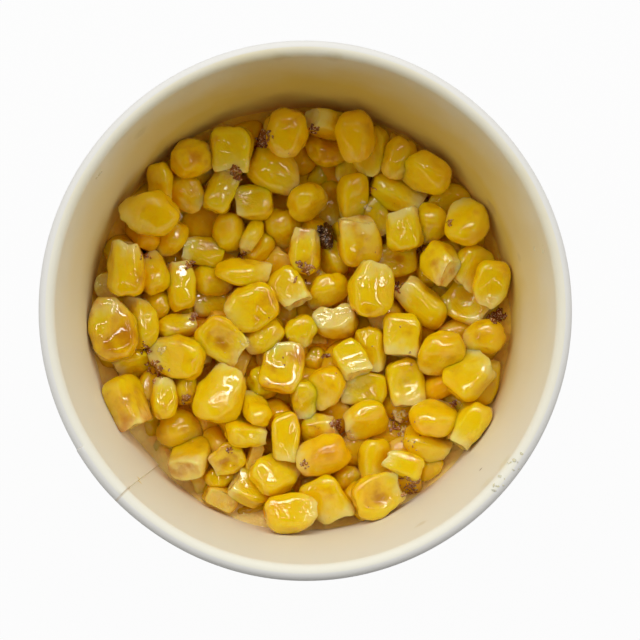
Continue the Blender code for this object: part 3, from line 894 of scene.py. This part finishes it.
def starting_heap(draw):
    """Every kernel before it settles: shape, place, rotation, size, whether laid one by one, and its looks.
    """
    golden_angle = math.pi * (3 - math.sqrt(5))
    rows = []
    for i in range(STREWN + STREWN_BY_WALL):
        radius = STREWN_REACH * math.sqrt((i + 0.5) / STREWN)
        angle = golden_angle * i + draw.uniform(-0.2, 0.2)
        if i >= STREWN:
            radius = draw.uniform(*BY_WALL_REACH)
            angle = 2 * math.pi * (i + draw.uniform(-0.3, 0.3)) / STREWN_BY_WALL
        x, y = radius * math.cos(angle), radius * math.sin(angle)
        kind = int(draw.integers(len(KINDS)))
        place = (x, y, core_height(x, y) + draw.uniform(2.5, 6.5))
        turn = facing(draw.uniform(0, 360), draw.normal(0, 22), draw.normal(0, 25))
        size = draw.uniform(0.85, 1.02)
        # Strewn kernels, which lie beneath the laid ones, get more of the deep amber: butter, and painted
        # shade for lying low.
        steeped = draw.uniform(0.45, 0.8) if i < STREWN else draw.uniform(0.1, 0.4)
        looks = (draw.uniform(0.4, 0.9), draw.uniform(0.0, 0.15), steeped)
        rows.append((kind, place, turn, size, False, looks))
    for kind, x, y, heading, pitch, roll, size, level, golden, toast in LAID:
        place = (x, y, core_height(x, y) + LAID_ABOVE + LAYER * level)
        # Laid kernels in lower layers get more of the deep amber, as painted shade.
        looks = (golden, toast, max(0.0, 0.3 - 0.15 * level))
        rows.append((KINDS.index(kind), place, facing(heading, pitch, roll), size, True, looks))
    return [np.array(column) for column in zip(*rows)]


def best_turn(rest, moved):
    """The rotation that best carries each kernel's balls from their rest places to where they were pushed."""
    spread = np.einsum("nki,nkj->nij", moved, rest)
    left, _, right = np.linalg.svd(spread)
    flip = np.sign(np.linalg.det(left @ right))
    left[:, :, 2] *= flip[:, None]
    return left @ right


def settle(kinds, places, turns, sizes, laid):
    """Lets the kernels sink and press each other apart until they lie on the core and on each other."""
    layouts = [ball_layout(KERNEL_SHAPES[kind]) for kind in KINDS]
    rest = np.array([layouts[k][0] for k in kinds]) * sizes[:, None, None]
    middle = rest.mean(1)
    radii = np.array([layouts[k][1] for k in kinds]) * sizes[:, None]
    wanted_place, wanted_turn = places[laid, :2].copy(), turns[laid].copy()
    places, turns = places.copy(), turns.copy()
    ones, twos = np.triu_indices(len(kinds), 1)
    eye = np.array(EYE) / MM
    for step in range(SETTLING_STEPS):
        share = step / SETTLING_STEPS
        places[:, 2] -= SINK[0] if share < SINK_SLOWS else SINK[1]
        hold = HOLD[0] if share < HOLD_SLACKENS else HOLD[1]
        sight = (eye[2] - places[laid, 2:]) / (eye[2] - LAID_HEIGHT / MM)
        target = eye[:2] + (wanted_place - eye[:2]) * sight
        places[laid, :2] += hold * (target - places[laid, :2])
        left, _, right = np.linalg.svd((1 - hold) * turns[laid] + hold * wanted_turn)
        turns[laid] = left @ right
        balls = places[:, None] + np.einsum("nij,nkj->nki", turns, rest)
        push = np.zeros_like(balls)
        touched = np.ones(radii.shape)
        near = np.linalg.norm(places[ones] - places[twos], axis=1) < KERNEL_REACH
        a, b = ones[near], twos[near]
        apart = balls[a][:, :, None] - balls[b][:, None]
        distance = np.linalg.norm(apart, axis=3) + 1e-9
        overlap = np.maximum(radii[a][:, :, None] + radii[b][:, None] - distance, 0)
        shove = apart * (overlap / distance / 2)[..., None]
        for kernels, sign, others in ((a, 1, 2), (b, -1, 1)):
            np.add.at(push, kernels, sign * shove.sum(others))
            np.add.at(touched, kernels, (overlap > 0).sum(others))
        balls += PRESS * push / np.maximum(touched - 1, 1)[..., None]
        floor = core_height(balls[..., 0], balls[..., 1]) + radii
        balls[..., 2] = np.maximum(balls[..., 2], floor)
        most = wall_inside(balls[..., 2] * MM) / MM - WALL_GAP - radii
        squeeze = np.minimum(1, most / np.maximum(np.linalg.norm(balls[..., :2], axis=2), 1e-6))
        balls[..., :2] *= squeeze[..., None]
        turns = best_turn(rest - middle[:, None], balls - balls.mean(1, keepdims=True))
        places = balls.mean(1) - np.einsum("nij,nj->ni", turns, middle)
    return places, turns


# ---------------------------------------------------------------- pouring


def pouring_tree():
    """Puts a kernel of the named shape at each point, and dents and wrinkles each one its own way."""
    sizes = ("Dent Depth", "Dents per mm", "Crease Depth", "Creases per mm")
    inputs = {"Shapes": "Collection", **dict.fromkeys(sizes, "Float")}
    tree, given, out = geometry_group("pour kernels", inputs)
    shapes = {"Collection": given["Shapes"], "Separate Children": True, "Reset Children": True}
    kernels = {
        "Points": given["Geometry"],
        "Instance": signal(tree, "GeometryNodeCollectionInfo", shapes),
        "Pick Instance": True,
        "Instance Index": named(tree, "kind", "INT"),
        "Rotation": signal(tree, "FunctionNodeEulerToRotation", {0: named(tree, "turn", "FLOAT_VECTOR")}),
        "Scale": named(tree, "size", "FLOAT_VECTOR"),
    }
    poured = signal(tree, "GeometryNodeInstanceOnPoints", kernels)
    real = signal(tree, "GeometryNodeRealizeInstances", {"Geometry": poured})
    where = own_place(named(tree, "local", "FLOAT_VECTOR"), named(tree, "grain"))
    dents = (cloud(where, given["Dents per mm"], 1.0) - 0.5) * given["Dent Depth"]
    crease = abs(cloud(where * (0.35, 1.0, 1.0), given["Creases per mm"], 1.5) - 0.5)
    push = crease * (given["Crease Depth"] * named(tree, "wrinkle")) + dents
    normal = signal(tree, "GeometryNodeInputNormal")
    offset = signal(tree, "ShaderNodeVectorMath", {0: normal, "Scale": push}, operation="SCALE")
    dented = signal(tree, "GeometryNodeSetPosition", {"Geometry": real, "Offset": offset})
    # Faces turned down or sideways get more of the deep amber: painted shade under and between the kernels.
    under = (0.7 - normal.parts()[2]).maths("MAXIMUM", 0.0)
    soaked_and_painted_light = under * 0.65 + named(tree, "steeped")
    finish_tree(stored(dented, "steeped", soaked_and_painted_light), given["Material"], out)
    return tree


def pour(name, chosen, heap, shapes, tree, material):
    """One piece of the heap: the chosen kernels as a plain mesh."""
    kinds, places, turns, sizes, looks, grains, wrinkles = (part[chosen] for part in heap)
    golden, toast, steeped = looks.T
    variant = (grains * 1000).astype(int) % VARIANTS
    start = marked(
        plain_mesh(name, places * MM),
        kind=(kinds * VARIANTS + variant).astype(np.int32),
        turn=[tuple(Matrix(turn.tolist()).to_euler()) for turn in turns],
        size=np.repeat(sizes[:, None], 3, 1),
        golden=golden,
        toast=toast,
        steeped=steeped,
        grain=grains,
        wrinkle=wrinkles,
    )
    values = {"Shapes": shapes, "Dent Depth": 1.3 * MM, "Dents per mm": 0.24}
    values.update({"Crease Depth": -1.2 * MM, "Creases per mm": 0.45, "Material": material})
    return grown(name, start, tree, values)


def press_to_wall(piece):
    """Flattens against the wall's inner face whatever would reach through it."""
    points = np.empty(3 * len(piece.data.vertices))
    piece.data.vertices.foreach_get("co", points)
    points = points.reshape(-1, 3)
    most = wall_inside(points[:, 2]) - 0.1 * MM
    reach = np.hypot(points[:, 0], points[:, 1] / oval(points[:, 2]))
    points[:, :2] *= np.minimum(1, most / np.maximum(reach, MM))[:, None]
    piece.data.vertices.foreach_set("co", points.ravel())
    piece.data.update()
    return piece


def met_from_above(surfaces, x, y, level):
    """Where the line of sight through a point at a level first meets the surfaces, and the normal there."""
    eye = Vector(EYE)
    way = (Vector((x * MM, y * MM, level)) - eye).normalized()
    hits = [surface.ray_cast(eye, way) for surface in surfaces]
    hits = [hit for hit in hits if hit[0] is not None]
    return min(hits, key=lambda hit: hit[3])[:2] if hits else None


def strew(name, rows, level, surfaces, shapes, tree, material, clear_of=()):
    """One piece of bits lying on the surfaces, without those that a surface to be clear of stands over."""
    draw = np.random.default_rng(SEED)
    places, turns, sizes, kinds, chars = [], [], [], [], []
    for x, y, spread, count, size, char in rows:
        for _ in range(count):
            shift = draw.normal(0, 0.42 * spread, 2)
            met = met_from_above(surfaces, x + shift[0], y + shift[1], level)
            before = met_from_above(clear_of, x + shift[0], y + shift[1], level)
            if met is None or (before is not None and before[0].z > met[0].z):
                continue
            place, normal = met
            long = size * draw.uniform(0.5, 1.7)
            spin = Matrix.Rotation(draw.uniform(0, 6.3), 3, "Z")
            upright = normal.to_track_quat("Z", "Y").to_matrix() @ spin
            places.append(place - normal * 0.1 * long * MM)
            turns.append(tuple(upright.to_euler()))
            sizes.append((long, long * draw.uniform(0.7, 1.2), long * draw.uniform(0.7, 1.3)))
            kinds.append(int(draw.integers(len(shapes.objects))))
            chars.append(char + draw.uniform(-0.15, 0.15))
    kinds = np.array(kinds, np.int32)
    start = marked(plain_mesh(name, places), kind=kinds, turn=turns, size=sizes, char=chars)
    return grown(name, start, tree, {"Shapes": shapes, "Material": material})


def heap_pieces(tree, material):
    """The whole heap: the strewn kernels as one piece, then the laid ones by quarter."""
    draw = np.random.default_rng(SEED)
    kinds, places, turns, sizes, laid, looks = starting_heap(draw)
    places, turns = settle(kinds, places, turns, sizes, laid)
    grains = draw.uniform(0, 1, len(kinds))
    wrinkles = draw.uniform(0, 1, len(kinds))
    heap = (kinds, places, turns, sizes, looks, grains, wrinkles)
    east, north = places[:, 0] > 0, places[:, 1] > 0
    choices = {
        "kernels_beneath": ~laid,
        "kernels_north_east": laid & east & north,
        "kernels_north_west": laid & ~east & north,
        "kernels_south_east": laid & east & ~north,
        "kernels_south_west": laid & ~east & ~north,
    }
    coarse, fine = kernel_collection("coarse_kernels", 20), kernel_collection("fine_kernels", 40)
    pieces = []
    for name, chosen in choices.items():
        shapes = coarse if name == "kernels_beneath" else fine
        pieces.append(press_to_wall(pour(name, chosen, heap, shapes, tree, material)))
    return pieces


def buried_kernel(x, y):
    """Where a point lies on the buried kernel nearest to it: 1 at its middle, 0 where two meet."""
    nearest, next_nearest = noise.voronoi(Vector((x, y, 0)) / BURIED_SPACING)[0][:2]
    return min(1.0, (next_nearest - nearest) / 0.35)


def core_piece(material):
    """The corn beneath, which shows only between the kernels: a plug that fills the cup, lumpy on top."""
    rings, around, into_wall = 64, 200, 0.05 * MM
    low = BASE_TOP + 0.3 * MM
    corners = [(math.cos(a), math.sin(a)) for a in np.arange(around) * 2 * math.pi / around]
    points, middles = [(0, 0, CORE_TOP)], [1.0]
    for i in range(1, rings + 1):
        share = i / rings
        reach = wall_inside(CORE_TOP) * share / MM
        for cos, sin in corners:
            x, y = reach * cos, reach * sin
            middle = buried_kernel(x, y)
            lump = 1.3 * (math.sqrt(middle) - 0.6) + 0.5 * noise.noise(Vector((x, y, 0)) / 4)
            top = (core_height(x, y) + CORE_SWELL + lump + MENISCUS * share**16) * MM
            radius = (wall_inside(top) + into_wall) * share
            points.append((radius * cos, radius * sin * oval(top), top))
            middles.append(middle)
    foot = wall_inside(low) - 0.5 * MM
    points += [(foot * cos, foot * sin, low) for cos, sin in corners]
    points.append((0, 0, low))
    middles += [1.0] * (around + 1)
    mesh = marked(plain_mesh("corn_core", points, ringed_faces(rings + 1, around)), middle=middles)
    face_outwards(mesh)
    sharpen(mesh, 55)
    mesh.materials.append(material)
    return placed("corn_core", mesh)


# ---------------------------------------------------------------- finishes


def material_tree(name):
    """A new material's tree and its Principled shader."""
    material = bpy.data.materials.new(name)
    material.use_nodes = True
    return material, material.node_tree, material.node_tree.nodes["Principled BSDF"]


def attribute(tree, name, output="Fac"):
    """The output of an Attribute node."""
    return signal(tree, "ShaderNodeAttribute", output=output, attribute_name=name)


def eased(value, low, high):
    """0 at low, 1 at high and eased between; low may be the larger."""
    values = {"Value": value, "From Min": low, "From Max": high}
    return signal(value.tree, "ShaderNodeMapRange", values, interpolation_type="SMOOTHSTEP")


def blend(share, one, two):
    """Two colours mixed by share: signals or plain colours."""
    one, two = (c if isinstance(c, Signal) else (*c, 1) for c in (one, two))
    return signal(share.tree, "ShaderNodeMix", {0: share, 6: one, 7: two}, 2, data_type="RGBA")


def bumped(height, strength, distance):
    """The surface's normal, turned by a height."""
    values = {"Height": height, "Strength": strength, "Distance": distance}
    return signal(height.tree, "ShaderNodeBump", values)


def butter_film():
    """The film of butter on corn and husk, as a group: smoothest where it pooled, and finely rippled."""
    outputs = {"Roughness": "Float", "Ripple": "Float"}
    inputs = {"Place": "Vector", "Ripples": "Float"}
    film, given, out = node_group("butter film", "ShaderNodeTree", inputs, outputs)
    place, ripples = given["Place"], given["Ripples"]
    pools = cloud(place, ripples * 0.45, 2.0)
    feed(out, {"Roughness": eased(pools, 0.4, 0.7) * 0.12 + 0.08, "Ripple": cloud(place, ripples, 1.0)})
    return film


def filmed(film, place, ripples):
    """The butter film's roughness and ripple in a material's tree."""
    node = put(place.tree, "ShaderNodeGroup", {}, node_tree=film)
    feed(node, {"Place": place, "Ripples": ripples})
    return Signal(node.outputs["Roughness"]), Signal(node.outputs["Ripple"])


def sweetcorn(film):
    """Cooked, buttered corn: yellow skin, paler at the cut end, browned where it met the grill, and wet;
    deeper amber where it lies low or faces down, which is butter and painted shade.
    """
    material, tree, shader = material_tree("sweetcorn")
    grain, cut, toast = (attribute(tree, name) for name in ("grain", "cut", "toast"))
    local = attribute(tree, "local", "Vector")
    where = own_place(local, grain)
    drawn_out = where * (0.7, 1.0, 1.0)
    broad = cloud(where, 0.3, 2.0)
    middling = cloud(where, 0.8, 3.0)
    fine = cloud(where, 2.6, 3.0)
    uneven = broad - 0.5
    along = uneven * 0.6 + attribute(tree, "along")
    golden = (uneven * 0.8 + attribute(tree, "golden")).clamped()
    steeped = (uneven * 0.5 + attribute(tree, "steeped")).clamped()

    # The skin, paler towards the cut end, and the cut face with its pith.
    skin = blend(golden, LEMON, GOLD)
    skin = blend(eased(abs(cloud(drawn_out, 0.7, 1.0) - 0.5), 0.12, 0.0) * 0.2, skin, VEIN)
    skin = blend(eased(along, 0.7, 1.1) * 0.4, skin, DEEP_GOLD)
    skin = blend(eased(fine, 0.52, 0.68) * eased(along, 0.95, 0.35) * 0.3, skin, PALE_TIP)
    paling = (eased(along, 0.5, 0.1) * (1.3 - golden)).clamped()
    skin = blend(paling, skin, blend(eased(along, 0.3, 0.0), PALE_TIP, CUT_FACE))
    face = blend(eased(middling, 0.4, 0.62) * 0.35, CUT_FACE, PALE_TIP)
    colour = blend(cut, skin, face)
    off_centre = (local * (0.0, 1.0, 1.0)).vector_maths("LENGTH", output="Value")
    pith = eased(off_centre + fine, 1.9, 1.1) * cut * ((grain * 7.0).maths("FRACT") > 0.6)
    colour = blend(pith * 0.35, colour, TOASTED)

    # Butter that it stands in, deeper amber on kernels that lie low and on faces turned down, which is also
    # painted shade, and what the grill did.
    colour = blend(steeped, colour, STEEPED_SHADE)
    browning = toast * 0.5 + cloud(where, 0.25, 1.0) + middling * 0.3
    colour = blend(eased(browning, 0.72, 1.12) * 0.85, colour, TOASTED)
    speck = (fine + middling) * 0.5 + toast * 0.1
    colour = blend(eased(speck, 0.68, 0.76) * 0.7, colour, BROWNED)
    colour = blend(eased(toast, 1.5, 2.0), colour, CHAR)

    # Its wrinkles, and the folds and beads of the butter over them.
    roughness, ripple = filmed(film, where, 0.8)
    crease = abs(cloud(drawn_out, 0.95, 1.0) - 0.5)
    depth = (attribute(tree, "wrinkle") * 1.3 + 0.5) * eased(along, 0.95, 0.3) * eased(broad, 0.36, 0.52)
    height = crease * depth + ripple * 0.4 + fine * 0.12 + fine * cut * 0.5
    fold = abs(cloud(where * (0.45, 1.1, 1.1), 0.9, 0.0) - 0.5) * eased(along, 0.75, 0.25)
    beaded = (grain * 11.0).maths("FRACT") > 0.35
    beads = eased(fine, 0.54, 0.68) * eased(broad, 0.46, 0.6) * beaded
    film_height = fold + cloud(where, 0.8, 1.0) * 0.25 + beads * 0.4
    feed(shader, {
        "Base Color": colour,
        "Subsurface Weight": 0.7,
        "Subsurface Radius": (1.0, 0.6, 0.18),
        "Subsurface Scale": 3.2 * MM,
        "Roughness": roughness,
        "Specular IOR Level": 0.08,
        "Coat Weight": 1.0 - steeped * 0.8,
        "Coat IOR": 1.6,
        "Coat Roughness": 0.0,
        "Normal": bumped(height, 0.45, 0.5 * MM),
        "Coat Normal": bumped(film_height, 0.13, 0.5 * MM),
    })
    return material


def place_in_mm(tree):
    """The object's own coordinates, in millimetres."""
    return signal(tree, "ShaderNodeTexCoord", output="Object") * (1000.0, 1000.0, 1000.0)


def juicy_core(film):
    """What shows between the kernels: buried kernels, and deep amber where they meet, which is butter and
    painted shade in the crevices between them.
    """
    material, tree, shader = material_tree("juicy_core")
    place = place_in_mm(tree)
    colour = blend(eased(cloud(place, 0.16, 3.0), 0.35, 0.65), DEEP_GOLD, GOLD)
    # Deep amber where buried kernels meet: butter, and painted shade in the crevices.
    colour = blend(eased(attribute(tree, "middle"), 0.6, 0.0), colour, STEEPED_SHADE)
    outward = (place * (1.0, 1.0, 0.0)).vector_maths("LENGTH", output="Value")
    # At the wall a butter edge, painted paler to the south: painted light over the shade in the crease
    # between core and wall.
    by_wall = blend(eased(place.parts()[1], 5.0, -25.0), BY_WALL, PAINTED_LIGHT_BY_WALL)
    colour = blend(eased(outward, 34.0, 37.0), colour, by_wall)
    roughness, ripple = filmed(film, place, 1.2)
    feed(shader, {
        "Base Color": colour,
        "Subsurface Weight": 0.3,
        "Subsurface Radius": (1.0, 0.5, 0.1),
        "Subsurface Scale": 0.8 * MM,
        "Roughness": roughness,
        "Normal": bumped(ripple, 1.0, 0.25 * MM),
    })
    return material


def charred_husk(film):
    """Scorched husk and skin: reddish brown to black, glinting with butter in its coat and with painted
    glints.
    """
    material, tree, shader = material_tree("charred_husk")
    place = place_in_mm(tree)
    char = cloud(place, 1.8, 3.0) - 0.5 + attribute(tree, "char")
    colour = blend(eased(char, -0.5, -0.1), SKIN, HUSK)
    colour = blend(eased(char, 0.0, 0.4), colour, SCORCHED)
    colour = blend(eased(char, 0.5, 0.9), colour, CHAR)
    # Painted glints: pale specks where the butter would catch the light.
    colour = blend(eased(cloud(place, 3.4, 0.0), 0.6, 0.68) * 0.75, colour, PAINTED_GLINT)
    roughness, ripple = filmed(film, place, 2.2)
    feed(shader, {
        "Base Color": colour,
        "Roughness": roughness,
        "Specular IOR Level": 0.2,
        "Coat Weight": 1.0,
        "Coat Roughness": 0.0,
        "Normal": bumped(ripple, 1.0, 0.5 * MM),
    })
    return material


def melted_butter():
    """Drops of butter on the paper: yellow and clear enough to take the paper's colour."""
    material, tree, shader = material_tree("melted_butter")
    thick = cloud(signal(tree, "ShaderNodeTexCoord", output="Object"), 900.0, 2.0)
    feed(shader, {
        "Base Color": blend(thick, THIN_BUTTER, THICK_BUTTER),
        "Roughness": 0.06,
        "Subsurface Weight": 0.5,
        "Subsurface Radius": (1.0, 0.8, 0.4),
        "Subsurface Scale": 1.0 * MM,
    })
    return material


def coated_paper():
    """White cup paper, stained with butter near the corn and browned along the lap's raw edge; the staining
    also carries painted shade and the corn's painted yellow glow.
    """
    material, tree, shader = material_tree("coated_paper")
    place = signal(tree, "ShaderNodeTexCoord", output="Object")
    height = place.parts()[2]
    broad = cloud(place, 70.0, 3.0)
    fibre = cloud(place, 1500.0, 3.0)
    inside = attribute(tree, "inner_face")

    # Butter that climbed the wall, most of it to the north, where its colour also stands in as painted shade
    # and yellow light bounced from the corn; and the soaking next to the corn, painted also as the corn's
    # yellow glow.
    uneven = broad - 0.5
    northward = place.dot((6.0, 32.0, 0.0))
    wavy = uneven * (14 * MM) + height
    faint = eased(wavy, 67 * MM, 44 * MM) * 0.5
    strong = eased(wavy, 44 * MM, 29 * MM) * 0.6
    stain_and_shade = ((faint + strong) * (northward + 0.7) * inside).clamped()
    # The inner face is creamier than the outer: the coating's own tint, with painted yellow light bounced
    # from the corn.
    colour = blend(inside, PAPER_WHITE, PAPER_CREAM)
    colour = blend(stain_and_shade, colour, BUTTER_STAIN_AND_SHADE)
    # Next to the corn the paper takes up butter, and is also painted with the corn's yellow glow, more to the
    # north.
    above = uneven * (6 * MM) + place.dot((0.0, -0.06, 1.0))
    soaked_and_painted_light = (eased(above, 33 * MM, 28 * MM) * (inside * 0.5) * (northward + 1.6)).clamped()
    colour = blend(soaked_and_painted_light, colour, SOAKED_AND_PAINTED_GLOW)

    # Marks, with ragged edges; the ones on the rim show on both faces.
    ragged = cloud(place, 600.0, 2.0)
    for turn, level, reach, share, tint in WALL_MARKS:
        radius = wall_inside(level * MM)
        spot = (radius * math.cos(math.radians(turn)), radius * math.sin(math.radians(turn)), level * MM)
        apart = ragged * (0.9 * reach * MM) + place.vector_maths("DISTANCE", spot, output="Value")
        mark = eased(apart, 1.35 * reach * MM, 0.75 * reach * MM) * share
        colour = blend(mark * inside if level < LOWEST_RIM_MARK else mark, colour, tint)

    # The lap's raw edge, and the line that it makes over the rim.
    turn = math.radians(LAP_END_DEG + 0.5)
    outward = place.dot((math.cos(turn), math.sin(turn), 0.0))
    aside = abs(place.dot((-math.sin(turn), math.cos(turn), 0.0)))
    seam = eased(aside, 0.3 * MM, 0.1 * MM) * 0.4 * (outward > 0.0)
    seam = seam * eased(height, CUP_HEIGHT - 3.4 * MM, CUP_HEIGHT - 2.6 * MM)
    for edge in (seam, attribute(tree, "raw_edge") * 0.45):
        colour = blend(edge, colour, RAW_EDGE)
    feed(shader, {
        "Base Color": colour,
        "Roughness": fibre * 0.08 + (stain_and_shade * -0.08 + 0.55),
        "Specular IOR Level": 0.4,
        "Normal": bumped(broad * 6.0 + fibre, 0.3, 0.06 * MM),
    })
    return material


def pale_floor():
    """A white floor on which the cup's shadow stays faint."""
    material, tree, shader = material_tree("pale_floor")
    feed(shader, {"Base Color": (0.5, 0.5, 0.5, 1), "Roughness": 0.9})
    glow = signal(tree, "ShaderNodeEmission", {"Color": (1.0, 1.0, 1.0, 1)})
    seen = signal(tree, "ShaderNodeLightPath", output="Is Camera Ray") * 0.96
    mixed = signal(tree, "ShaderNodeMixShader", {0: seen, 1: Signal(shader.outputs[0]), 2: glow})
    feed(tree.nodes["Material Output"], {"Surface": mixed})
    return material


# ---------------------------------------------------------------- stage


def tube_share(axes, tube):
    """How bright a tube is in a direction: its strength within its reach, and nothing beyond or beneath."""
    share = (axes[2] > 0.0) * tube[4]
    for way, middle, reach in zip(axes, tube[:2], tube[2:4]):
        share = share * eased(abs(way - middle), 1.3 * reach, 0.7 * reach)
    return share


def studio_sky():
    """A soft sky, brightest to the north and at the sides, with tubes in it that only the butter mirrors."""
    world = bpy.data.worlds.new("studio")
    world.use_nodes = True
    sky = world.node_tree
    axes = signal(sky, "ShaderNodeTexCoord", output="Generated").parts()
    seen, dimmed, sharp = (
        signal(sky, "ShaderNodeLightPath", output=f"Is {ray} Ray") for ray in ("Camera", "Glossy", "Singular")
    )
    up = axes[2].maths("MAXIMUM", 0.0)
    rise = up * (up * SKY_RISE[1] + SKY_RISE[0]) + SKY_HORIZON
    glow = (axes[1] * SKY_NORTH + 1.0) * (axes[0] * axes[0] * SKY_SIDES + 1.0) * rise
    glow = glow * (1.0 - dimmed * SKY_DIMMED) * (1.0 - sharp * SKY_IN_BUTTER)
    for tube in TUBES:
        glow = tube_share(axes, tube) * sharp + glow
    strength = seen * (BACKDROP - glow) + glow
    feed(sky.nodes["Background"], {"Strength": strength, "Color": (1.0, 0.99, 0.97, 1)})
    bpy.context.scene.world = world


def window():
    """The light from the north."""
    light = bpy.data.lights.new("window", "AREA")
    light.shape = "RECTANGLE"
    light.size, light.size_y = KEY_SIZE
    light.energy = KEY_POWER
    rise, turn = math.radians(KEY_RISE_DEG), math.radians(KEY_TURN_DEG)
    way = Vector((math.cos(rise) * math.cos(turn), math.cos(rise) * math.sin(turn), math.sin(rise)))
    key = placed("window", light)
    key.location = way * KEY_DISTANCE + Vector((0, 0, 0.04))
    key.rotation_euler = way.to_track_quat("Z", "Y").to_euler()


def stage():
    """The floor, the lights and the camera."""
    bpy.ops.mesh.primitive_plane_add(size=6)
    floor = bpy.context.object
    floor.name = "floor"
    floor.data.materials.append(pale_floor())
    studio_sky()
    window()
    camera = placed("camera", bpy.data.cameras.new("camera"))
    camera.data.lens = LENS
    camera.location = EYE
    look = (Vector(AIM) - camera.location).normalized()
    side = look.cross(Vector((0, 1, 0))).normalized()
    camera.rotation_euler = Matrix((side, side.cross(look), -look)).transposed().to_euler()
    bpy.context.scene.camera = camera
    bpy.context.scene.view_settings.view_transform = "Standard"


def main():
    film = butter_film()
    paper, corn = coated_paper(), sweetcorn(film)
    turning, pouring = turning_tree(), pouring_tree()
    wall = turned_piece("paper_wall", wall_section(), turning, paper)
    base = turned_piece("paper_base", base_section(), turning, paper)
    core = core_piece(juicy_core(film))
    kernels = heap_pieces(pouring, corn)
    upon = [surface_of(piece) for piece in [core] + kernels]
    flakes = crumpled_collection("flakes", 5, 0.45, 0.85)
    paper_face = [surface_of(wall)]
    charred = charred_husk(film)
    husk = strew("husk_bits", HUSK_BITS, LAID_HEIGHT, upon, flakes, pouring, charred, paper_face)
    husk = press_to_wall(husk)
    drops = crumpled_collection("drops", 3, 0.45, 0.25)
    rim_level = CUP_HEIGHT - 1 * MM
    butter = strew("butter_drops", BUTTER_DROPS, rim_level, paper_face, drops, pouring, melted_butter())
    pieces = [(wall, "cup_wall", "coated_paper"), (base, "cup_base", "coated_paper")]
    pieces += [(piece, "corn_heap", "sweetcorn") for piece in [core, husk] + kernels]
    for piece, node, slot in pieces:
        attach(piece, "root")
        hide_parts(node)
    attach(butter, "root")
    stage()


main()
